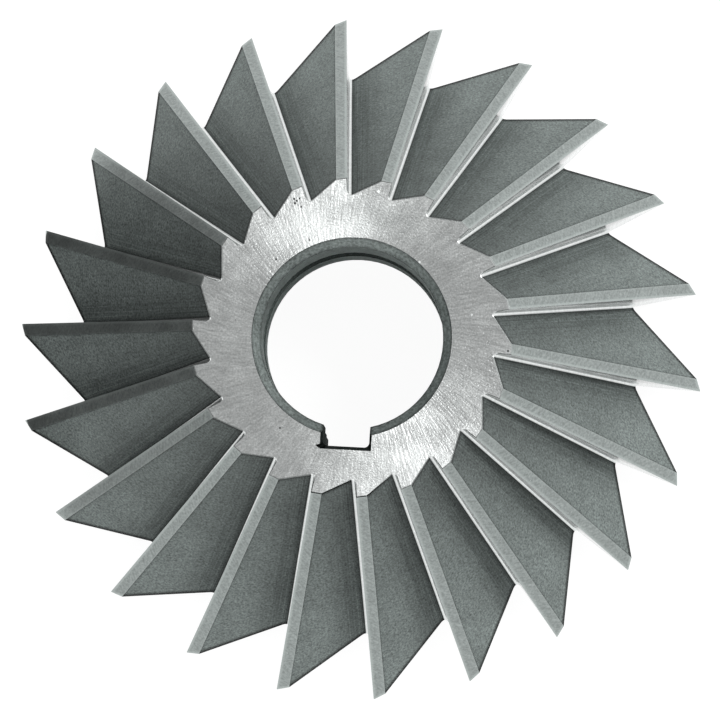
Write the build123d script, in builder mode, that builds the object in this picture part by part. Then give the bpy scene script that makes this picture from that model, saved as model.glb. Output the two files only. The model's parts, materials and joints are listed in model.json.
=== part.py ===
"""Dovetail cutter: one solid cutter body with a cone of straight teeth.

Millimetres. +Z runs along the bore towards the small hub face. The origin is the
centre of the flat face, level with its cutting edges. The keyway points to -Y.
"""
import math
import os

from build123d import *

# Main sizes
cutter_diameter = 125.0
cone_angle = 50.0
body_width = 41.0
tooth_count = 22
first_tooth_angle = 6.0
hub_edge_break = 0.12

# Bore
bore_diameter = 32.0
bore_mouth_chamfer = 1.6
bore_rear_chamfer = 0.5
bore_relief_depth = 0.8
bore_relief_start = 25.0
bore_relief_end = 31.0

# Keyway
key_width = 8.0
key_clearance = 0.2
keyway_floor = 19.2
keyway_corner_radius = 0.9
keyway_corner_break = 1.2
keyway_bevel_depth = 0.5
keyway_flank_bevel = 0.4
keyway_floor_bevel = 0.6
keyway_overrun = 1.0

# Torn corner of the keyway's mouth
tear_reach = 1.2
tear_height = 0.5
tear_depth = 1.2

# Recesses in the flat side
screw_recess_diameter = 45.0
screw_recess_depth = 18.0
screw_recess_corner = 0.8
screw_recess_chamfer = 0.5
end_recess_diameter = 58.0
end_recess_corner = 0.8
gash_run_out_clearance = 0.3

# Tooth form
rake_offset = 0.55
land_relief = 3.3
end_relief = 6.0
flute_root_at_hub = 24.8
flute_root_at_face = 54.1
flute_angle = 72.0
flute_root_radius = 0.5
gash_depth_at_rim = 7.2
gash_depth_at_recess = 3.1
gash_angle = 68.7
gash_root_radius = 1.0

# Stock on the turned blank, and how far the tooth cuts reach past the solid
blank_stock = 0.8
blank_rim_stock = 1.6
gap_cut_width = 36.0
gap_cut_height = 26.0
flute_overrun_at_hub = 4.0
flute_overrun_at_face = 12.0
gash_overrun_at_rim = 8.0
gash_overrun_at_recess = 4.0
relief_cut_behind = 4.0
relief_cut_ahead = 0.8
relief_cut_height = 3.0
relief_overrun = 8.0

# Derived sizes
tip_radius = cutter_diameter / 2
bore_radius = bore_diameter / 2
bore_relief_radius = bore_radius + bore_relief_depth
screw_recess_radius = screw_recess_diameter / 2
end_recess_radius = end_recess_diameter / 2
end_recess_depth = gash_depth_at_recess + gash_run_out_clearance
hub_edge_radius = tip_radius - body_width / math.tan(math.radians(cone_angle))
edge_run = math.sqrt(tip_radius**2 - rake_offset**2) - math.sqrt(hub_edge_radius**2 - rake_offset**2)
edge_length = math.hypot(edge_run, body_width)
flute_run = flute_root_at_face - flute_root_at_hub
gash_run = tip_radius - end_recess_radius
gash_rise = gash_depth_at_rim - gash_depth_at_recess
keyway_width = key_width + key_clearance
keyway_side = keyway_width / 2
corner_height = math.sqrt(bore_radius**2 - keyway_side**2)

# Planes of the tooth cuts, for the tooth that points to +Y
land_tilt = math.radians(land_relief)
end_tilt = math.radians(end_relief)
flute_plane = Plane(
    origin=(rake_offset, flute_root_at_hub, body_width),
    x_dir=(1, 0, 0),
    z_dir=(0, -flute_run, body_width),
)
gash_plane = Plane(
    origin=(rake_offset, tip_radius, gash_depth_at_rim),
    x_dir=(1, 0, 0),
    z_dir=(0, gash_run, gash_rise),
)
cone_normal = Vector(0, body_width, edge_run).normalized()
land_plane = Plane(
    origin=(rake_offset, math.sqrt(tip_radius**2 - rake_offset**2), 0),
    x_dir=(0, -edge_run, body_width),
    z_dir=cone_normal * math.cos(land_tilt) - Vector(math.sin(land_tilt), 0, 0),
)
end_plane = Plane(
    origin=(rake_offset, 0, 0),
    x_dir=(0, 1, 0),
    z_dir=(-math.sin(end_tilt), 0, -math.cos(end_tilt)),
)


def notch_section(notch_angle, root_radius):
    """Section of a tooth notch: its upright side is the rake face, its root is at 0, 0."""
    with BuildSketch() as section:
        with BuildLine():
            Polyline(
                (0, 0),
                (gap_cut_width, gap_cut_width / math.tan(math.radians(notch_angle))),
                (gap_cut_width, gap_cut_height),
                (0, gap_cut_height),
                close=True,
            )
        make_face()
        fillet(section.vertices().sort_by(Axis.Y)[0], root_radius)
    return section.sketch


def relief_outline(middle, length):
    """Outline of a relief cut along a cutting edge, mostly behind the edge."""
    with BuildSketch() as outline:
        with Locations((middle, (relief_cut_ahead - relief_cut_behind) / 2)):
            Rectangle(length, relief_cut_behind + relief_cut_ahead)
    return outline.sketch


def corner_at(section, radius, height):
    """The corner of a turned section that is nearest to a radius and a height."""
    return section.vertices().sort_by_distance((radius, height))[0]


# One tooth gap: flute, end gash and the relieved lands of the tooth beside them
flute_section = notch_section(flute_angle, flute_root_radius)
gash_section = notch_section(gash_angle, gash_root_radius)
land_outline = relief_outline(edge_length / 2, edge_length + 2 * relief_overrun)
end_outline = relief_outline(
    (tip_radius + end_recess_radius) / 2, gash_run + gash_overrun_at_recess
)
with BuildPart() as tooth_gap:
    with BuildSketch(flute_plane) as flute_form:
        add(flute_section)
    extrude(flute_form.sketch, amount=flute_overrun_at_hub)
    extrude(flute_form.sketch, amount=-(edge_length + flute_overrun_at_face))
    with BuildSketch(gash_plane) as gash_form:
        add(gash_section)
    extrude(gash_form.sketch, amount=gash_overrun_at_rim)
    extrude(gash_form.sketch, amount=-(gash_run + gash_overrun_at_recess))
    with BuildSketch(land_plane):
        add(land_outline)
    extrude(amount=relief_cut_height)
    with BuildSketch(end_plane):
        add(end_outline)
    extrude(amount=relief_cut_height)

with BuildPart() as cutter_body:
    # Turned blank: bore with its relief groove, screw recess, end recess and cone
    with BuildSketch(Plane.XZ) as blank_section:
        with BuildLine():
            Polyline(
                (bore_radius, screw_recess_depth),
                (screw_recess_radius, screw_recess_depth),
                (screw_recess_radius, end_recess_depth),
                (end_recess_radius, end_recess_depth),
                (end_recess_radius, -blank_stock),
                (tip_radius + blank_rim_stock, -blank_stock),
                (hub_edge_radius + blank_rim_stock, body_width),
                (bore_radius, body_width),
                (bore_radius, bore_relief_end),
                (bore_relief_radius, bore_relief_end),
                (bore_relief_radius, bore_relief_start),
                (bore_radius, bore_relief_start),
                close=True,
            )
        make_face()
        chamfer(corner_at(blank_section, bore_radius, body_width), bore_mouth_chamfer)
        chamfer(corner_at(blank_section, bore_radius, screw_recess_depth), bore_rear_chamfer)
        chamfer(
            corner_at(blank_section, screw_recess_radius, end_recess_depth),
            screw_recess_chamfer,
        )
        fillet(
            corner_at(blank_section, screw_recess_radius, screw_recess_depth),
            screw_recess_corner,
        )
        fillet(corner_at(blank_section, end_recess_radius, end_recess_depth), end_recess_corner)
    revolve(axis=Axis.Z)

    # Tooth gaps all round, and the hub face's sharp outline broken
    with PolarLocations(0, tooth_count, start_angle=first_tooth_angle):
        add(tooth_gap.part, mode=Mode.SUBTRACT)
    hub_face = cutter_body.faces().sort_by(Axis.Z)[-1]
    chamfer(hub_face.outer_wire().edges(), hub_edge_break)

    # Keyway along the bore
    with BuildSketch(Plane.XY.offset(screw_recess_depth - keyway_overrun)) as keyway_form:
        with Locations((0, -keyway_floor / 2)):
            Rectangle(keyway_width, keyway_floor)
        fillet(keyway_form.vertices().group_by(Axis.Y)[0], keyway_corner_radius)
    extrude(amount=body_width - screw_recess_depth + 2 * keyway_overrun, mode=Mode.SUBTRACT)

    # Broken corners where the keyway meets the rear land of the bore
    with BuildSketch(Plane.XY.offset(screw_recess_depth - keyway_overrun)):
        with BuildLine():
            Polyline(
                (-keyway_side, -corner_height - keyway_corner_break),
                (-keyway_side - keyway_corner_break, -corner_height + keyway_corner_break / 2),
                (keyway_side + keyway_corner_break, -corner_height + keyway_corner_break / 2),
                (keyway_side, -corner_height - keyway_corner_break),
                close=True,
            )
        make_face()
    extrude(amount=bore_relief_start - screw_recess_depth + keyway_overrun, mode=Mode.SUBTRACT)

    # Bevel round the keyway's mouth
    with BuildSketch(Plane.XY.offset(body_width - keyway_bevel_depth)):
        with Locations((0, -keyway_floor / 2)):
            Rectangle(keyway_width, keyway_floor)
    with BuildSketch(Plane.XY.offset(body_width)):
        with Locations((0, -(keyway_floor + keyway_floor_bevel) / 2)):
            Rectangle(keyway_width + 2 * keyway_flank_bevel, keyway_floor + keyway_floor_bevel)
    loft(mode=Mode.SUBTRACT)

    # Torn corner where the keyway's left flank meets its floor
    with BuildSketch(Plane.XY.offset(body_width)):
        with BuildLine():
            Polyline(
                (-keyway_side - tear_reach, -keyway_floor),
                (-keyway_side - tear_reach / 2, -keyway_floor - tear_height),
                (-keyway_side + tear_height, -keyway_floor - tear_height),
                (-keyway_side + tear_height, -keyway_floor + tear_height),
                close=True,
            )
        make_face()
    extrude(amount=-tear_depth, mode=Mode.SUBTRACT)

cutter_body.part.label = "cutter_body"
os.makedirs("parts", exist_ok=True)
export_step(cutter_body.part, "parts/cutter_body.step")
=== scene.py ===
"""Dovetail cutter: finishes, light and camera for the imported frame."""
import json
import math

import bpy
import numpy as np
from mathutils import Euler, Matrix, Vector

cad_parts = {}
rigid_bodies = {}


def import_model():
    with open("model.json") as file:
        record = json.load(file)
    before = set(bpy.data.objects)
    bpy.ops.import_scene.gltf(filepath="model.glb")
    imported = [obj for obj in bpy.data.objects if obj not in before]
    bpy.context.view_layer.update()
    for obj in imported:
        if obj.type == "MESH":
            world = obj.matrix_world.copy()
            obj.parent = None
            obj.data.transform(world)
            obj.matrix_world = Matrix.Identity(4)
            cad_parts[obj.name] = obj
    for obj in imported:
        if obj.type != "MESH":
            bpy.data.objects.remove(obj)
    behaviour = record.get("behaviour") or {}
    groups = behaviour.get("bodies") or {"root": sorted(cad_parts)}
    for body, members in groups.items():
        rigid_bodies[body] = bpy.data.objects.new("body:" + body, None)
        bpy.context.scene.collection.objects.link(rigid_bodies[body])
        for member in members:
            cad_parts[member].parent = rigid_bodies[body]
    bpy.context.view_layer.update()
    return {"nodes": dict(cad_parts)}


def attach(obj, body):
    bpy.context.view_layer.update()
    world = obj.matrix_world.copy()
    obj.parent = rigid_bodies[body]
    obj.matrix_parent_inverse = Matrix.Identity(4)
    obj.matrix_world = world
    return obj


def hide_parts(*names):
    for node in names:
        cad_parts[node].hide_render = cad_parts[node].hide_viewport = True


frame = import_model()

mm_per_metre = 1000.0

# Sizes of the solid, in millimetres and degrees
tooth_count = 22
first_tooth_angle = 96.0
tip_radius = 62.5
body_width = 41.0
rake_offset = 0.55
land_relief = 3.3
flute_root_at_hub = 24.8
flute_root_at_face = 54.1
flute_angle = 72.0
gash_depth_at_rim = 7.2
gash_depth_at_recess = 3.1
gash_angle = 68.7
hub_edge_radius = 28.1
hub_middle_radius = 22.0
bore_radius = 16.0
bore_mouth_chamfer = 1.6
bore_relief_radius = 16.8
keyway_mouth_half_width = 4.5
screw_recess_depth = 18.0
end_recess_radius = 29.0
end_recess_depth = 3.4

# Slack for faces that lie on a surface: in millimetres, and as part of a unit normal
place_slack = 0.01
way_slack = 0.01
rake_slack = 0.03
flute_slack = 0.06
end_land_slack = 0.02
bore_wall_slack = 0.02
smooth_bore_slack = 0.08
relief_wall_slack = 0.05
relief_groove_slack = 0.1
recess_wall_slack = 0.05
hub_face_slack = 0.001

# Least part of a unit normal that points out of a surface
plane_way = 0.9995
gash_way = 0.999
land_way = 0.5
end_land_way = 0.98
chamfer_way = 0.66

# Most part of a unit normal that points back from the rake face, in the fillets
flute_fillet_back = 0.25
gash_fillet_back = 0.39

# Zones of a tooth, in millimetres clockwise from its radial plane
land_middle = -0.6
gash_reach = 19.0
gash_fillet_start = 0.3
gash_fillet_end = 2.5

# Reach of a tooth's two lands to each side of their middle, in millimetres
land_reach = 1.6
end_land_reach = 2.6

# Reach of the flute's fillet from its root line, and margin inside that line, in millimetres
flute_fillet_reach = 0.78
flute_root_margin = 2.0

# Zones of the hub face, the bore and the keyway, in millimetres
hub_outline_depth = 4.0
hub_edge_drop = 0.2
mouth_width = 1.0
mouth_drop = 0.1
keyway_corner_reach = 1.2
keyway_corner_rise = 0.9
keyway_flank = 4.2

# Camera, fitted to the photograph: metres, degrees and millimetres
camera_place = (0.038085, -0.079178, 0.922706)
camera_turn = (5.01, 2.0856, 3.2164)
camera_lens = 252.992
camera_sensor = 36.0

# Floor and cards of the studio, in metres
floor_half = 3.0
floor_height = -0.0002
card_height = 0.12
flag_lift = 0.0004
fringe_lift = 0.0002
bore_card_half = 0.015

# Marks on the hub face, in millimetres: place, radius and level of each
hub_marks = (
    (-11.43, 23.80, 0.17, 0.03),
    (-10.53, 23.95, 0.15, 0.03),
    (-10.97, 23.50, 0.17, 0.03),
    (-11.26, 23.06, 0.19, 0.03),
    (-10.14, 22.48, 0.15, 0.03),
    (-10.66, 22.74, 0.09, 0.03),
    (-14.00, 13.02, 0.15, 0.03),
    (-8.29, 16.67, 0.13, 0.05),
    (-8.45, 16.90, 0.09, 0.05),
    (-11.62, -16.59, 0.14, 0.06),
    (27.47, -0.98, 0.16, 0.03),
    (3.31, 25.87, 0.24, 0.95),
    (20.79, 5.07, 0.16, 0.95),
    (11.15, 13.84, 0.20, 0.95),
)
mark_softness = 0.06


def in_tooth_frame(tooth, vectors):
    """Vectors in a tooth's own frame: clockwise across it, outwards along it, and up."""
    angle = math.radians(first_tooth_angle - tooth * 360.0 / tooth_count)
    outward = np.array((math.cos(angle), math.sin(angle), 0.0))
    across = np.array((math.sin(angle), -math.cos(angle), 0.0))
    return np.stack((vectors @ across, vectors @ outward, vectors[:, 2]), 1)


def unit(vector):
    """The same direction at length one."""
    vector = np.array(vector, float)
    return vector / np.linalg.norm(vector)


def notch_sides(axis, angle):
    """Directions of a notch cut along an axis: across its slanting side, and out of that side."""
    rise = 1 / math.tan(math.radians(angle))
    across = unit(np.array((1.0, 0.0, 0.0)) + rise * np.cross((1.0, 0.0, 0.0), axis))
    return across, np.cross(across, axis)


# The planes that a tooth gap is cut with, in the tooth's own frame
flute_axis = unit((0, flute_root_at_face - flute_root_at_hub, -body_width))
flute_across, flute_normal = notch_sides(flute_axis, flute_angle)
flute_start = np.array((rake_offset, flute_root_at_hub, body_width))
gash_axis = unit((0, end_recess_radius - tip_radius, gash_depth_at_recess - gash_depth_at_rim))
gash_across, gash_normal = notch_sides(gash_axis, gash_angle)
gash_start = np.array((rake_offset, tip_radius, gash_depth_at_rim))
edge_axis = unit((0, tip_radius - hub_edge_radius, -body_width))

FINISHES = (
    "ground_hub",
    "broken_edge",
    "ground_land",
    "milled_flute",
    "milled_gash",
    "ground_rake",
    "root_fillet",
    "turned_chamfer",
    "ground_bore",
    "relief_groove",
    "turned_recess",
    "cut_keyway",
)


def finish_of_turned(centre, normal):
    """Finish of a face that belongs to no tooth gap, from its place and direction."""
    side, height = abs(centre[0]), centre[2]
    radius = math.hypot(centre[0], centre[1])
    inward = -(centre[0] * normal[0] + centre[1] * normal[1]) / radius
    upright = abs(normal[2]) < way_slack
    if height > body_width - place_slack:
        return "ground_hub"
    slanting = inward > chamfer_way and normal[2] > chamfer_way
    if slanting and radius < bore_radius + bore_mouth_chamfer:
        return "turned_chamfer"
    beside_key = side < keyway_mouth_half_width + keyway_corner_reach
    in_keyway = beside_key and centre[1] < keyway_corner_rise - bore_radius
    above_recess = height > screw_recess_depth + place_slack
    if in_keyway and radius > bore_radius + bore_wall_slack and above_recess:
        on_wall = radius < bore_relief_radius + relief_wall_slack and upright
        return "ground_bore" if on_wall and side > keyway_flank else "cut_keyway"
    if radius > hub_edge_radius - hub_outline_depth and height > body_width - hub_edge_drop:
        return "broken_edge"
    at_mouth = height > body_width - bore_mouth_chamfer - mouth_drop
    if radius < bore_relief_radius + mouth_width and at_mouth:
        return "turned_chamfer"
    in_bore = radius < bore_relief_radius + relief_groove_slack
    if in_bore and height > screw_recess_depth - place_slack:
        smooth = radius < bore_radius + smooth_bore_slack and upright
        return "ground_bore" if smooth else "relief_groove"
    return "turned_recess"


def sort_faces(centres, normals):
    """Finish and tooth number of every face; turned faces have tooth number -1."""
    finishes = [None] * len(centres)
    teeth = np.full(len(centres), -1)
    radii, heights = np.hypot(centres[:, 0], centres[:, 1]), centres[:, 2]
    outside = radii > end_recess_radius + recess_wall_slack
    over_root = radii > flute_root_at_hub - flute_root_margin
    flute_zone = over_root & (heights > end_recess_depth)
    may_be_gap = (outside | flute_zone) & (heights < body_width - hub_face_slack)
    land_slope = math.sin(math.radians(land_relief))
    for tooth in range(tooth_count):
        place, way = in_tooth_frame(tooth, centres), in_tooth_frame(tooth, normals)
        from_plane = place[:, 0]
        from_land = abs(from_plane - land_middle)
        near = may_be_gap & (place[:, 1] > 0)
        gap = place - flute_start
        on_rake = near & (way[:, 0] > plane_way) & (abs(from_plane - rake_offset) < rake_slack)
        on_flute = near & (way @ flute_normal > plane_way)
        on_flute &= abs(gap @ flute_normal) < flute_slack
        on_gash = near & (way @ gash_normal > gash_way)
        on_gash &= (from_plane > 0) & (from_plane < gash_reach)
        on_land = near & (abs(way[:, 0] + land_slope) < way_slack)
        on_land &= (way[:, 1] > land_way) & (from_land < land_reach)
        on_end = near & (way[:, 2] < -end_land_way) & (abs(way[:, 1]) < end_land_slack)
        on_end &= from_land < end_land_reach
        from_root = np.linalg.norm(gap - np.outer(gap @ flute_axis, flute_axis), axis=1)
        by_flute = near & (from_root < flute_fillet_reach) & (way[:, 0] > -flute_fillet_back)
        by_gash = near & (way[:, 2] < way_slack) & (way[:, 0] > -gash_fillet_back)
        by_gash &= (from_plane > gash_fillet_start) & (from_plane < gash_fillet_end)
        for chosen, name in (
            (on_rake, "ground_rake"),
            (on_flute, "milled_flute"),
            (on_gash, "milled_gash"),
            (on_land, "ground_land"),
            (on_end, "ground_land"),
            (by_flute, "root_fillet"),
            (by_gash, "milled_gash"),
        ):
            for i in np.nonzero(chosen)[0]:
                if finishes[i] is None:
                    finishes[i] = name
                    teeth[i] = tooth
    for i, name in enumerate(finishes):
        if name is None:
            finishes[i] = finish_of_turned(centres[i], normals[i])
    return finishes, teeth


def read_mesh(source):
    """Corner places in millimetres, face corners and corner normals of a triangle mesh."""
    mesh = source.data
    places = np.empty(len(mesh.vertices) * 3)
    mesh.vertices.foreach_get("co", places)
    corners = np.empty(len(mesh.loops), int)
    mesh.loops.foreach_get("vertex_index", corners)
    normals = np.empty(len(mesh.loops) * 3)
    mesh.corner_normals.foreach_get("vector", normals)
    points = places.reshape(-1, 3) * mm_per_metre
    return points, corners.reshape(-1, 3), normals.reshape(-1, 3)


def tool_place(finish, tooth, points):
    """Points in the frame of the tool's path: along it, across it, and a third direction."""
    if tooth < 0:
        return points
    place = in_tooth_frame(tooth, points)
    if finish == "milled_flute":
        gap = place - flute_start
        return np.stack((gap @ flute_axis, gap @ flute_across, place[:, 2]), 1)
    if finish == "milled_gash":
        gap = place - gash_start
        return np.stack((gap @ gash_axis, gap @ gash_across, place[:, 2]), 1)
    if finish in ("ground_rake", "root_fillet"):
        return np.stack((place[:, 2], place[:, 1], place[:, 0]), 1)
    return np.stack((place @ edge_axis, rake_offset - place[:, 0], place[:, 2]), 1)


def build_cutter(source):
    """The cutter's own mesh: the solid's faces, sorted by finish, with their tool paths."""
    points, triangles, corner_normals = read_mesh(source)
    weld_decimals = 4
    _, first, where = np.unique(
        np.round(points, weld_decimals), axis=0, return_index=True, return_inverse=True
    )
    welded_triangles = where.reshape(-1)[triangles]
    corner_points = points[triangles]
    centres = corner_points.mean(axis=1)
    start, second, third = (corner_points[:, i] for i in range(3))
    normals = np.cross(second - start, third - start)
    normals /= np.linalg.norm(normals, axis=1)[:, None]
    finishes, teeth = sort_faces(centres, normals)

    mesh = bpy.data.meshes.new("cutter")
    mesh.from_pydata((points[first] / mm_per_metre).tolist(), [], welded_triangles.tolist())
    for name in FINISHES:
        mesh.materials.append(bpy.data.materials[name])
    mesh.polygons.foreach_set("material_index", [FINISHES.index(name) for name in finishes])
    paths = mesh.attributes.new("tool_place", "FLOAT_VECTOR", "CORNER")
    values = np.concatenate(
        [tool_place(finishes[i], teeth[i], corner_points[i]) for i in range(len(triangles))]
    )
    paths.data.foreach_set("vector", values.astype(np.float32).ravel())
    mesh.polygons.foreach_set("use_smooth", [True] * len(triangles))
    mesh.normals_split_custom_set(corner_normals.reshape(-1, 3).tolist())
    mesh.update()
    piece = bpy.data.objects.new("cutter", mesh)
    bpy.context.scene.collection.objects.link(piece)
    return piece


# Shader node helpers
class Tree:
    """A node tree with short ways to add nodes and join them."""

    def __init__(self, tree):
        self.tree = tree

    def add(self, kind, **settings):
        node = self.tree.nodes.new(kind)
        for name, value in settings.items():
            setattr(node, name, value)
        return node

    def join(self, source, target):
        self.tree.links.new(source, target)

    def feed(self, target, value):
        """Joins a socket, or sets a plain value."""
        if isinstance(value, bpy.types.NodeSocket):
            self.join(value, target)
        else:
            target.default_value = value

    def math(self, operation, *values):
        node = self.add("ShaderNodeMath", operation=operation)
        for socket, value in zip(node.inputs, values):
            self.feed(socket, value)
        return node.outputs[0]

    def ramp(self, value, low, high, to_low=0.0, to_high=1.0):
        """Maps low..high to to_low..to_high, smoothly and held at the ends."""
        node = self.add("ShaderNodeMapRange", interpolation_type="SMOOTHSTEP")
        for name, given in (
            ("Value", value),
            ("From Min", low),
            ("From Max", high),
            ("To Min", to_low),
            ("To Max", to_high),
        ):
            self.feed(node.inputs[name], given)
        return node.outputs["Result"]

    def varied(self, level, field, amount):
        """A level raised and lowered by a field that lies about 0.5."""
        swing = self.math("SUBTRACT", field, 0.5)
        return self.math("MULTIPLY", level, self.math("MULTIPLY_ADD", swing, amount, 1.0))

    def toward(self, level, mask, target, share=1.0):
        """A level moved towards a target where a mask is 1."""
        node = self.add("ShaderNodeMix", data_type="FLOAT")
        self.feed(node.inputs[0], self.math("MULTIPLY", mask, share))
        self.feed(node.inputs[2], level)
        self.feed(node.inputs[3], target)
        return node.outputs[0]

    def parts(self, vector):
        node = self.add("ShaderNodeSeparateXYZ")
        self.join(vector, node.inputs[0])
        return node.outputs

    def vector(self, x, y):
        node = self.add("ShaderNodeCombineXYZ")
        self.feed(node.inputs[0], x)
        self.feed(node.inputs[1], y)
        return node.outputs[0]

    def vector_math(self, operation, vector, other, output=0):
        node = self.add("ShaderNodeVectorMath", operation=operation)
        self.join(vector, node.inputs[0])
        self.feed(node.inputs[1], other)
        return node.outputs[output]

    def noise(self, vector, scale, detail, roughness):
        node = self.add("ShaderNodeTexNoise")
        self.feed(node.inputs["Vector"], vector)
        self.feed(node.inputs["Scale"], scale)
        node.inputs["Detail"].default_value = detail
        node.inputs["Roughness"].default_value = roughness
        return node.outputs["Fac"]


def node_of(material, kind):
    """The first node of a kind in a material's tree."""
    return next(node for node in material.node_tree.nodes if node.type == kind)


def new_material(name):
    """A material with the usual Principled shader."""
    material = bpy.data.materials.new(name)
    material.use_nodes = True
    return material


def new_group(name, inputs, outputs):
    """A shader node group with named inputs and outputs, and its helper."""
    group = bpy.data.node_groups.new(name, "ShaderNodeTree")
    for label, kind, value in inputs:
        socket = group.interface.new_socket(label, in_out="INPUT", socket_type=kind)
        if value is not None:
            socket.default_value = value
    for label, kind in outputs:
        group.interface.new_socket(label, in_out="OUTPUT", socket_type=kind)
    tree = Tree(group)
    return group, tree, tree.add("NodeGroupInput").outputs, tree.add("NodeGroupOutput").inputs


def build_grain():
    """Mottling of a steel surface: fine grains and broad clouds, each about 0.5."""
    group, t, given, result = new_group(
        "Steel grain",
        [
            ("Vector", "NodeSocketVector", None),
            ("Grains per mm", "NodeSocketFloat", 2.0),
            ("Clouds per mm", "NodeSocketFloat", 0.15),
        ],
        [("Grain", "NodeSocketFloat"), ("Cloud", "NodeSocketFloat")],
    )
    grain = t.noise(given["Vector"], given["Grains per mm"], detail=2.0, roughness=0.6)
    cloud = t.noise(given["Vector"], given["Clouds per mm"], detail=3.0, roughness=0.55)
    t.join(grain, result["Grain"])
    t.join(cloud, result["Cloud"])
    return group


def build_marks():
    """Tool marks that run along X of the vector and vary along its Y, and sparse scratches."""
    group, t, given, result = new_group(
        "Tool marks",
        [
            ("Vector", "NodeSocketVector", None),
            ("Lines per mm", "NodeSocketFloat", 3.0),
            ("Stretch", "NodeSocketFloat", 0.05),
            ("Sparseness", "NodeSocketFloat", 0.6),
        ],
        [("Lines", "NodeSocketFloat"), ("Scratches", "NodeSocketFloat")],
    )
    place = t.parts(given["Vector"])
    drawn = t.vector(
        t.math("MULTIPLY", place[0], given["Stretch"]),
        t.math("MULTIPLY", place[1], given["Lines per mm"]),
    )
    t.join(t.noise(drawn, scale=1.0, detail=2.0, roughness=0.6), result["Lines"])
    wider = t.vector_math("MULTIPLY", drawn, (1.7, 0.6, 1.0))
    sparse = t.noise(wider, scale=1.0, detail=3.0, roughness=0.75)
    full = t.math("ADD", given["Sparseness"], 0.1)
    t.join(t.ramp(sparse, given["Sparseness"], full), result["Scratches"])
    return group


def build_edges():
    """Mask that is 1 along an edge of the solid, used to paint highlights and shade along edges.
    """
    group, t, given, result = new_group(
        "Edge mask for painted highlights and shade",
        [("Reach", "NodeSocketFloat", 0.0005)],
        [("Edge", "NodeSocketFloat")],
    )
    round_off = t.add("ShaderNodeBevel", samples=6)
    t.join(given["Reach"], round_off.inputs["Radius"])
    face = t.add("ShaderNodeNewGeometry")
    same = t.vector_math("DOT_PRODUCT", round_off.outputs[0], face.outputs["Normal"], "Value")
    t.join(t.ramp(same, low=0.999, high=0.93), result["Edge"])
    return group


def build_dots():
    """Small dark pits and bright specks scattered over a surface."""
    group, t, given, result = new_group(
        "Pits and specks",
        [
            ("Vector", "NodeSocketVector", None),
            ("Cells per mm", "NodeSocketFloat", 0.4),
            ("Largest radius", "NodeSocketFloat", 0.15),
        ],
        [("Pits", "NodeSocketFloat"), ("Specks", "NodeSocketFloat")],
    )
    empty_share = 0.5
    rim_share = -0.3
    for shift, label in ((0.0, "Pits"), (37.0, "Specks")):
        cells = t.add("ShaderNodeTexVoronoi")
        shifted = t.vector_math("ADD", given["Vector"], (shift, shift, 0.0))
        t.join(shifted, cells.inputs["Vector"])
        t.join(given["Cells per mm"], cells.inputs["Scale"])
        chance = t.parts(cells.outputs["Color"])
        largest = t.math("MULTIPLY", given["Largest radius"], given["Cells per mm"])
        reach = t.math("MULTIPLY", chance[1], largest)
        away = t.math("SUBTRACT", cells.outputs["Distance"], reach)
        dot = t.ramp(away, 0.0, t.math("MULTIPLY", largest, rim_share))
        chosen = t.math("GREATER_THAN", chance[0], empty_share)
        t.join(t.math("MULTIPLY", dot, chosen), result[label])
    return group


def build_turning():
    """Place about the bore's axis: the radius, a leaning radial path and a path round the axis."""
    group, t, given, result = new_group(
        "Turned place",
        [("Vector", "NodeSocketVector", None), ("Lean", "NodeSocketFloat", 0.176)],
        [
            ("Radius", "NodeSocketFloat"),
            ("Radial path", "NodeSocketVector"),
            ("Round path", "NodeSocketVector"),
        ],
    )
    place = t.parts(given["Vector"])
    y_squared = t.math("MULTIPLY", place[1], place[1])
    radius = t.math("SQRT", t.math("MULTIPLY_ADD", place[0], place[0], y_squared))
    angle = t.math("ARCTAN2", place[1], place[0])
    leaned = t.math("MULTIPLY_ADD", t.math("LOGARITHM", radius, math.e), given["Lean"], angle)
    round_hub = t.math("MULTIPLY", leaned, hub_middle_radius)
    round_bore = t.math("MULTIPLY", angle, bore_radius)
    t.join(radius, result["Radius"])
    t.join(t.vector(radius, round_hub), result["Radial path"])
    t.join(t.vector(round_bore, t.math("ADD", place[2], radius)), result["Round path"])
    return group


GRAIN = build_grain()
MARKS = build_marks()
EDGES = build_edges()
DOTS = build_dots()
TURNING = build_turning()


class Finish:
    """A metal material: a Principled shader with the shared effects joined to it."""

    def __init__(self, name, roughness, metallic=1.0):
        self.material = new_material(name)
        self.tree = Tree(self.material.node_tree)
        self.shader = node_of(self.material, "BSDF_PRINCIPLED")
        self.shader.inputs["Metallic"].default_value = metallic
        self.shader.inputs["Roughness"].default_value = roughness
        tool = self.tree.add("ShaderNodeAttribute", attribute_name="tool_place")
        self.path = tool.outputs["Vector"]
        own = self.tree.add("ShaderNodeTexCoord").outputs["Object"]
        self.place = self.tree.vector_math("MULTIPLY", own, (mm_per_metre,) * 3)

    def use(self, group, **values):
        """Places a shared effect, with its inputs by name."""
        node = self.tree.add("ShaderNodeGroup", node_tree=group)
        for name, value in values.items():
            self.tree.feed(node.inputs[name.replace("_", " ")], value)
        return node.outputs

    def edge(self, reach_mm):
        return self.use(EDGES, Reach=reach_mm / mm_per_metre)["Edge"]

    def colour(self, level, green):
        """Steel's grey at a level that varies over the surface, leaning to green."""
        blue_lack = 0.3 * green
        tint = self.tree.add("ShaderNodeVectorMath", operation="SCALE")
        tint.inputs[0].default_value = (1 - green, 1.0, 1 - blue_lack)
        self.tree.feed(tint.inputs["Scale"], level)
        self.tree.join(tint.outputs[0], self.shader.inputs["Base Color"])

    def roughness(self, field, low, high):
        """Roughness from low to high by a field that lies about 0.5."""
        value = self.tree.ramp(field, low=0.3, high=0.7, to_low=low, to_high=high)
        self.tree.join(value, self.shader.inputs["Roughness"])

    def bump(self, height, depth_mm):
        node = self.tree.add("ShaderNodeBump")
        node.inputs["Distance"].default_value = depth_mm / mm_per_metre
        self.tree.join(height, node.inputs["Height"])
        self.tree.join(node.outputs[0], self.shader.inputs["Normal"])


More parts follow.
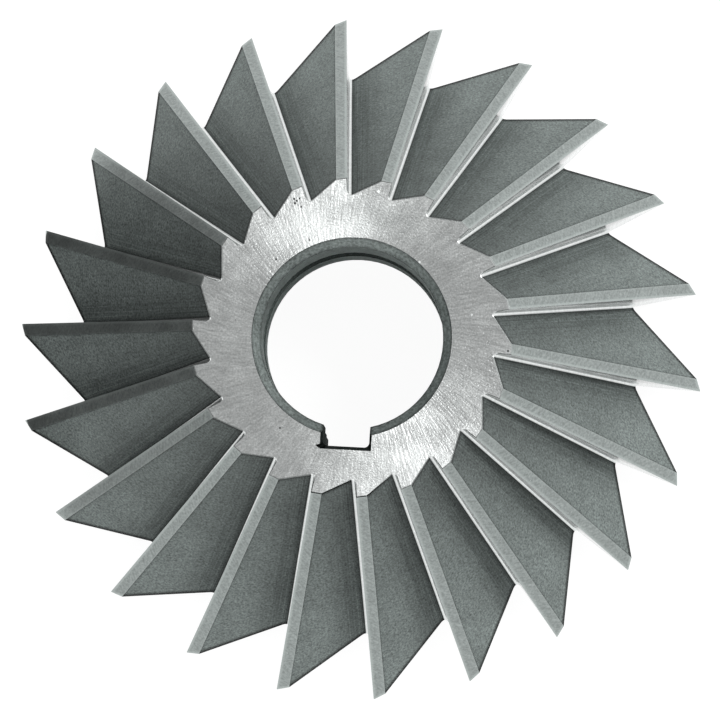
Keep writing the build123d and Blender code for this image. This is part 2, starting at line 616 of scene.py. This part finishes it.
def make_ground_hub():
    """Hub face: gritty, with short leaning scratches, a few long ones and the placed marks."""
    finish = Finish("ground_hub", roughness=0.34)
    t = finish.tree
    finish.shader.inputs["Anisotropic"].default_value = 0.7
    around = finish.use(TURNING, Vector=finish.place)["Radial path"]
    short = finish.use(MARKS, Vector=around, Lines_per_mm=2.6, Stretch=0.5, Sparseness=0.60)
    long = finish.use(MARKS, Vector=around, Lines_per_mm=1.7, Stretch=0.10, Sparseness=0.63)
    grain = finish.use(GRAIN, Vector=finish.place, Grains_per_mm=3.0, Clouds_per_mm=0.2)
    dots = finish.use(DOTS, Vector=finish.place, Cells_per_mm=0.45, Largest_radius=0.15)
    level = t.varied(0.47, grain["Grain"], amount=1.05)
    level = t.varied(level, short["Lines"], amount=0.7)
    level = t.varied(level, long["Lines"], amount=0.5)
    level = t.varied(level, grain["Cloud"], amount=0.3)
    level = t.toward(level, long["Scratches"], target=0.75, share=0.3)
    level = t.toward(level, short["Scratches"], target=0.2, share=0.25)
    level = t.toward(level, dots["Pits"], target=0.12, share=0.8)
    level = t.toward(level, dots["Specks"], target=0.8, share=0.4)
    for x, y, radius, mark_level in hub_marks:
        away = t.vector_math("DISTANCE", finish.place, (x, y, body_width), "Value")
        mark = t.ramp(away, low=radius + mark_softness, high=radius)
        level = t.toward(level, mark, target=mark_level, share=0.92)
    finish.colour(level, green=0.03)
    finish.roughness(grain["Cloud"], low=0.30, high=0.40)
    height = t.math("ADD", t.math("ADD", short["Lines"], long["Lines"]), grain["Grain"])
    finish.bump(height, depth_mm=0.045)


def make_broken_edge():
    """Narrow chamfer where the tooth gaps cut the hub face."""
    finish = Finish("broken_edge", roughness=0.6)
    grain = finish.use(GRAIN, Vector=finish.place, Grains_per_mm=3.0)
    finish.colour(finish.tree.varied(0.22, grain["Grain"], amount=1.6), green=0.05)


def make_ground_land():
    """Relieved lands behind the cutting edges: fine grinding lines aslant of the edge, with a
    painted highlight along the edges and just behind the cutting edge.
    """
    finish = Finish("ground_land", roughness=0.36, metallic=0.92)
    t = finish.tree
    aslant = t.add("ShaderNodeVectorRotate", rotation_type="Z_AXIS")
    aslant.inputs["Angle"].default_value = math.radians(-45)
    t.join(finish.path, aslant.inputs["Vector"])
    lines = finish.use(
        MARKS, Vector=aslant.outputs[0], Lines_per_mm=2.4, Stretch=0.25, Sparseness=0.64
    )
    grain = finish.use(GRAIN, Vector=finish.place, Grains_per_mm=2.2, Clouds_per_mm=0.2)
    dots = finish.use(DOTS, Vector=finish.place, Cells_per_mm=0.4, Largest_radius=0.14)
    behind_edge = t.parts(finish.path)[1]
    level = t.varied(0.32, grain["Grain"], amount=1.0)
    level = t.varied(level, lines["Lines"], amount=0.65)
    level = t.varied(level, grain["Cloud"], amount=0.3)
    level = t.toward(level, dots["Specks"], target=0.7, share=0.6)
    # Painted highlight: lighter along the edges and in a narrow strip just behind the cutting
    # edge.
    level = t.toward(level, finish.edge(1.0), target=0.5, share=0.7)
    level = t.toward(level, t.ramp(behind_edge, low=0.5, high=0.15), target=0.5, share=0.2)
    finish.colour(level, green=0.09)
    finish.roughness(grain["Cloud"], low=0.30, high=0.40)
    finish.bump(t.math("ADD", lines["Lines"], grain["Grain"]), depth_mm=0.008)


def make_milled(name):
    """Milled side of a tooth gap: dull, with painted shade in its corner by the root, towards the
    hub end and along its edges, and feed lines near the root.
    """
    finish = Finish(name, roughness=0.62, metallic=0.7)
    t = finish.tree
    along, from_root, _ = t.parts(finish.path)
    feed = finish.use(MARKS, Vector=finish.path, Lines_per_mm=3.2, Stretch=0.02, Sparseness=0.6)
    grain = finish.use(GRAIN, Vector=finish.place, Grains_per_mm=2.6, Clouds_per_mm=0.13)
    dots = finish.use(DOTS, Vector=finish.place, Cells_per_mm=0.45, Largest_radius=0.13)
    # Painted shade: darker in the gap's corner by the root and towards the hub end.
    corner = t.ramp(from_root, low=3.0, high=9.0, to_low=0.133, to_high=0.17)
    outwards = t.ramp(along, low=0.0, high=46.0, to_low=0.85, to_high=1.2)
    feed_amount = t.ramp(from_root, low=1.0, high=6.0, to_low=2.2, to_high=0.4)
    level = t.math("MULTIPLY", corner, outwards)
    level = t.varied(level, grain["Grain"], amount=2.5)
    level = t.varied(level, grain["Cloud"], amount=0.5)
    level = t.varied(level, feed["Lines"], amount=feed_amount)
    level = t.toward(level, dots["Specks"], target=0.4, share=0.6)
    level = t.toward(level, dots["Pits"], target=0.03, share=0.6)
    # Painted shade: nearly black along the edges and in the root, with a painted dark outline.
    level = t.toward(level, t.ramp(finish.edge(1.6), low=0.1, high=0.5), target=0.004)
    finish.colour(level, green=0.13)
    finish.roughness(grain["Grain"], low=0.56, high=0.68)
    finish.bump(t.math("ADD", feed["Lines"], grain["Grain"]), depth_mm=0.012)


def make_rake(name, level, roughness, line_amount):
    """Ground rake face or the smooth fillet at its foot, brighter near the flat side."""
    finish = Finish(name, roughness)
    t = finish.tree
    lines = finish.use(MARKS, Vector=finish.path, Lines_per_mm=2.5, Stretch=0.1)
    grain = finish.use(GRAIN, Vector=finish.place, Grains_per_mm=2.0, Clouds_per_mm=0.2)
    height = t.parts(finish.path)[0]
    level = t.ramp(height, low=11.0, high=5.0, to_low=level, to_high=0.75)
    level = t.varied(level, lines["Lines"], amount=line_amount)
    level = t.varied(level, grain["Grain"], amount=0.3)
    finish.colour(level, green=0.03)
    finish.roughness(grain["Cloud"], low=roughness - 0.03, high=roughness + 0.04)


def make_turned(name, level, rings, roughness, green, mottling=1.2, painted_edge_level=0.01):
    """Turned surface, with rings round the bore's axis, and painted light along its edges: painted
    shade at a low edge level, a painted highlight at a high one.
    """
    finish = Finish(name, roughness)
    t = finish.tree
    around = finish.use(TURNING, Vector=finish.place)["Round path"]
    marks = finish.use(MARKS, Vector=around, Lines_per_mm=rings, Stretch=0.05)
    grain = finish.use(GRAIN, Vector=finish.place, Grains_per_mm=2.0, Clouds_per_mm=0.25)
    edge = t.ramp(finish.edge(1.0), low=0.1, high=0.6)
    level = t.varied(level, marks["Lines"], amount=0.6)
    level = t.varied(level, grain["Grain"], amount=mottling)
    # Painted light along the edges: painted shade at a low edge level, a painted highlight at a
    # high one.
    level = t.toward(level, edge, target=painted_edge_level, share=0.8)
    finish.colour(level, green)
    finish.roughness(grain["Cloud"], low=roughness - 0.05, high=roughness + 0.06)
    finish.bump(marks["Lines"], depth_mm=0.01)


make_ground_hub()
make_broken_edge()
make_ground_land()
make_milled("milled_flute")
make_milled("milled_gash")
make_rake("ground_rake", level=0.38, roughness=0.18, line_amount=0.4)
make_rake("root_fillet", level=0.75, roughness=0.32, line_amount=0.3)
make_turned("turned_chamfer", level=0.29, rings=2.2, roughness=0.45, green=0.11, mottling=2.0)
# The bore's edges get a painted highlight.
make_turned("ground_bore", level=0.55, rings=2.6, roughness=0.35, green=0.11, painted_edge_level=0.8)
make_turned("relief_groove", level=0.18, rings=2.2, roughness=0.55, green=0.15)
make_turned("turned_recess", level=0.25, rings=2.2, roughness=0.42, green=0.08)
make_turned("cut_keyway", level=0.03, rings=2.2, roughness=0.85, green=0.20)

cutter = build_cutter(frame["nodes"]["cutter_body"])
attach(cutter, "root")
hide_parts("cutter_body")


def flat_card(name, corners):
    """A flat card of the studio, given by its four corners in metres."""
    mesh = bpy.data.meshes.new(name)
    mesh.from_pydata(corners, [], [(0, 1, 2, 3)])
    card = bpy.data.objects.new(name, mesh)
    bpy.context.scene.collection.objects.link(card)
    return card


def lying(height, *corners):
    """Corners that lie at one height."""
    return [(x, y, height) for x, y in corners]


def square(half):
    """Corners of a square round the cutter's axis."""
    return (-half, -half), (half, -half), (half, half), (-half, half)


def standing(x, low_y, high_y):
    """Corners of a card that stands square to X on the floor."""
    return [(x, low_y, 0), (x, high_y, 0), (x, high_y, card_height), (x, low_y, card_height)]


def matt(tree, level):
    """Matt paint of a level of grey."""
    paint = tree.add("ShaderNodeBsdfDiffuse")
    paint.inputs["Color"].default_value = (level, level, level, 1)
    return paint.outputs[0]


def make_floor(glow_strength):
    """White paper: it shows white to the camera and to the metal, and keeps the shadow."""
    floor = flat_card("floor", lying(floor_height, *square(floor_half)))
    paper = new_material("white_paper")
    t = Tree(paper.node_tree)
    paper.node_tree.nodes.remove(node_of(paper, "BSDF_PRINCIPLED"))
    plain = matt(t, 0.72)
    faint = matt(t, 0.12)
    glow = t.add("ShaderNodeEmission")
    glow.inputs["Strength"].default_value = glow_strength
    seen = t.add("ShaderNodeAddShader")
    t.join(faint, seen.inputs[0])
    t.join(glow.outputs[0], seen.inputs[1])
    rays = t.add("ShaderNodeLightPath")
    shows = t.math("MAXIMUM", rays.outputs["Is Camera Ray"], rays.outputs["Is Glossy Ray"])
    shows = t.math("MAXIMUM", shows, rays.outputs["Is Transmission Ray"])
    mix = t.add("ShaderNodeMixShader")
    t.join(shows, mix.inputs[0])
    t.join(plain, mix.inputs[1])
    t.join(seen.outputs[0], mix.inputs[2])
    t.join(mix.outputs[0], node_of(paper, "OUTPUT_MATERIAL").inputs["Surface"])
    floor.data.materials.append(paper)


def card_paint(name, level):
    """Dull paint of a studio card."""
    paint = new_material(name)
    shader = node_of(paint, "BSDF_PRINCIPLED")
    shader.inputs["Base Color"].default_value = (level, level, level, 1)
    shader.inputs["Roughness"].default_value = 0.9
    return paint


def make_cards():
    """Cards that only the metal sees: black with a grey fringe at the left, one in the bore."""
    black = card_paint("black_card", 0.015)
    grey = card_paint("grey_card", 0.22)
    pale = card_paint("pale_card", 0.55)
    flag = ((-0.052, -0.024), (-0.052, 0.026), (-0.24, 0.17), (-0.24, -0.07))
    fringe = ((-0.062, -0.038), (-0.062, 0.046), (-0.24, 0.25), (-0.24, -0.14))
    for name, corners, paint in (
        ("flag_upright", standing(-0.24, -0.07, 0.17), black),
        ("flag_lying", lying(flag_lift, *flag), black),
        ("fringe_upright", standing(-0.241, -0.14, 0.25), grey),
        ("fringe_lying", lying(fringe_lift, *fringe), grey),
        ("card_under_bore", lying(flag_lift, *square(bore_card_half)), pale),
    ):
        card = flat_card(name, corners)
        card.data.materials.append(paint)
        card.visible_camera = False
        card.visible_diffuse = False
        card.visible_shadow = False


def area_lamp(name, place, size, watts):
    """A soft square lamp that points at the cutter."""
    lamp = bpy.data.lights.new(name, "AREA")
    lamp.shape = "SQUARE"
    lamp.size = size
    lamp.energy = watts
    holder = bpy.data.objects.new(name, lamp)
    holder.location = place
    holder.rotation_euler = (-Vector(place)).to_track_quat("-Z", "Y").to_euler()
    bpy.context.scene.collection.objects.link(holder)


def from_angles(azimuth, elevation, distance):
    """A place given by its azimuth from +X, its elevation and its distance."""
    a, e = math.radians(azimuth), math.radians(elevation)
    level_distance = distance * math.cos(e)
    return level_distance * math.cos(a), level_distance * math.sin(a), distance * math.sin(e)


def make_world(level):
    """Even white light from all round."""
    world = bpy.data.worlds.new("studio")
    bpy.context.scene.world = world
    world.use_nodes = True
    background = world.node_tree.nodes["Background"]
    background.inputs["Color"].default_value = (1, 1, 1, 1)
    background.inputs["Strength"].default_value = level


def make_camera():
    """The photograph's camera."""
    camera = bpy.data.cameras.new("camera")
    camera.lens = camera_lens
    camera.sensor_width = camera_sensor
    camera.clip_start = 0.01
    camera.clip_end = 10.0
    holder = bpy.data.objects.new("camera", camera)
    holder.location = camera_place
    holder.rotation_euler = Euler([math.radians(a) for a in camera_turn], "XYZ")
    bpy.context.scene.collection.objects.link(holder)
    bpy.context.scene.camera = holder


make_floor(glow_strength=0.94)
make_cards()
area_lamp("key_lamp", from_angles(31, 52, distance=0.9), size=0.35, watts=7.4)
area_lamp("low_fill", from_angles(-95, 35, distance=1.0), size=0.8, watts=1.5)
area_lamp("left_fill", from_angles(180, 40, distance=1.0), size=0.8, watts=1.6)
make_world(level=0.67)
make_camera()
bpy.context.scene.view_settings.view_transform = "Standard"
for start_object in [o for o in bpy.data.objects if o.name in ("Cube", "Light", "Camera")]:
    bpy.data.objects.remove(start_object)
